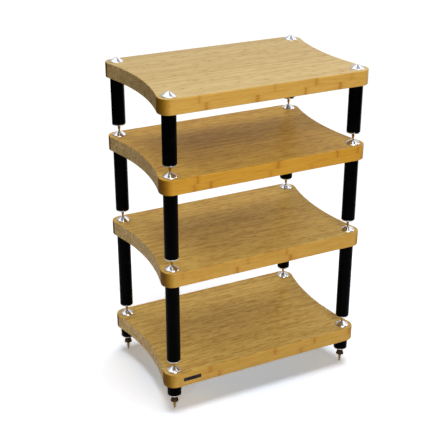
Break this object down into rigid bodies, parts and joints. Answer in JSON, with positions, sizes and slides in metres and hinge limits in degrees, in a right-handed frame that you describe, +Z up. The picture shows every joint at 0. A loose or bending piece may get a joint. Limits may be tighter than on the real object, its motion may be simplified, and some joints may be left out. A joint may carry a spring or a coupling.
{
  "type": "audio equipment rack",
  "caption": "Open hi-fi rack of bamboo shelves with hollowed sides on black tube legs, brass spikes standing in chrome shoes, and levelling floor spikes.",
  "frame": {"origin": "on the floor under the middle of the rack, at the bottom of its bounding box", "axes": "+Z up, +X to the right and +Y to the back as seen from the front, which faces -Y"},
  "size_m": [0.6, 0.403, 0.9105],
  "materials": {
    "bamboo": "satin lacquered bamboo board, laid in strips",
    "black_tube": "satin black powder coat",
    "shoe_chrome": "polished, with turning lines",
    "spike_brass": "turned and polished",
    "collar_bronze": "dark bronze, semi gloss",
    "badge_plate": "dark anodised, blank"
  },
  "bodies": {
    "base": {"shelf_bottom": "bamboo", "badge_plate": "badge_plate", "shoe_bottom_front_left": "shoe_chrome", "shoe_bottom_front_right": "shoe_chrome", "shoe_bottom_back_left": "shoe_chrome", "shoe_bottom_back_right": "shoe_chrome", "foot_front_left": "black_tube", "foot_front_right": "black_tube", "foot_back_left": "black_tube", "foot_back_right": "black_tube"},
    "tier_lower": {"shelf_lower": "bamboo", "shoe_lower_front_left": "shoe_chrome", "shoe_lower_front_right": "shoe_chrome", "shoe_lower_back_left": "shoe_chrome", "shoe_lower_back_right": "shoe_chrome", "leg_lower_front_left": "black_tube", "leg_lower_front_right": "black_tube", "leg_lower_back_left": "black_tube", "leg_lower_back_right": "black_tube", "spike_lower_front_left": "spike_brass", "spike_lower_front_right": "spike_brass", "spike_lower_back_left": "spike_brass", "spike_lower_back_right": "spike_brass"},
    "tier_upper": {"shelf_upper": "bamboo", "shoe_upper_front_left": "shoe_chrome", "shoe_upper_front_right": "shoe_chrome", "shoe_upper_back_left": "shoe_chrome", "shoe_upper_back_right": "shoe_chrome", "leg_upper_front_left": "black_tube", "leg_upper_front_right": "black_tube", "leg_upper_back_left": "black_tube", "leg_upper_back_right": "black_tube", "spike_upper_front_left": "spike_brass", "spike_upper_front_right": "spike_brass", "spike_upper_back_left": "spike_brass", "spike_upper_back_right": "spike_brass"},
    "tier_top": {"shelf_top": "bamboo", "shoe_top_front_left": "shoe_chrome", "shoe_top_front_right": "shoe_chrome", "shoe_top_back_left": "shoe_chrome", "shoe_top_back_right": "shoe_chrome", "leg_top_front_left": "black_tube", "leg_top_front_right": "black_tube", "leg_top_back_left": "black_tube", "leg_top_back_right": "black_tube", "spike_top_front_left": "spike_brass", "spike_top_front_right": "spike_brass", "spike_top_back_left": "spike_brass", "spike_top_back_right": "spike_brass"},
    "leveller_front_left": {"floor_spike_front_left": "spike_brass"},
    "turner_front_left": {"collar_front_left": "collar_bronze"},
    "leveller_front_right": {"floor_spike_front_right": "spike_brass"},
    "turner_front_right": {"collar_front_right": "collar_bronze"},
    "leveller_back_left": {"floor_spike_back_left": "spike_brass"},
    "turner_back_left": {"collar_back_left": "collar_bronze"},
    "leveller_back_right": {"floor_spike_back_right": "spike_brass"},
    "turner_back_right": {"collar_back_right": "collar_bronze"}
  },
  "joints": [
    {"name": "lift_lower", "type": "slide", "parent": "base", "child": "tier_lower", "axis": [0, 0, 1], "range_m": [0, 0.06]},
    {"name": "lift_upper", "type": "slide", "parent": "tier_lower", "child": "tier_upper", "axis": [0, 0, 1], "range_m": [0, 0.06]},
    {"name": "lift_top", "type": "slide", "parent": "tier_upper", "child": "tier_top", "axis": [0, 0, 1], "range_m": [0, 0.06]},
    {"name": "level_front_left", "type": "slide", "parent": "base", "child": "leveller_front_left", "axis": [0, 0, 1], "range_m": [-0.005, 0.0075]},
    {"name": "turn_front_left", "type": "hinge", "parent": "leveller_front_left", "child": "turner_front_left", "pos_m": [-0.27, -0.1715, 0.032], "axis": [0, 0, 1], "range_deg": [-1500, 2220]},
    {"name": "level_front_right", "type": "slide", "parent": "base", "child": "leveller_front_right", "axis": [0, 0, 1], "range_m": [-0.005, 0.0075]},
    {"name": "turn_front_right", "type": "hinge", "parent": "leveller_front_right", "child": "turner_front_right", "pos_m": [0.27, -0.1715, 0.032], "axis": [0, 0, 1], "range_deg": [-1500, 2220]},
    {"name": "level_back_left", "type": "slide", "parent": "base", "child": "leveller_back_left", "axis": [0, 0, 1], "range_m": [-0.005, 0.0075]},
    {"name": "turn_back_left", "type": "hinge", "parent": "leveller_back_left", "child": "turner_back_left", "pos_m": [-0.27, 0.1715, 0.032], "axis": [0, 0, 1], "range_deg": [-1500, 2220]},
    {"name": "level_back_right", "type": "slide", "parent": "base", "child": "leveller_back_right", "axis": [0, 0, 1], "range_m": [-0.005, 0.0075]},
    {"name": "turn_back_right", "type": "hinge", "parent": "leveller_back_right", "child": "turner_back_right", "pos_m": [0.27, 0.1715, 0.032], "axis": [0, 0, 1], "range_deg": [-1500, 2220]}
  ],
  "couplings": [
    {"joint": "turn_front_left", "follows": "level_front_left", "rad_per_m": 5026.5},
    {"joint": "turn_front_right", "follows": "level_front_right", "rad_per_m": 5026.5},
    {"joint": "turn_back_left", "follows": "level_back_left", "rad_per_m": 5026.5},
    {"joint": "turn_back_right", "follows": "level_back_right", "rad_per_m": 5026.5}
  ]
}
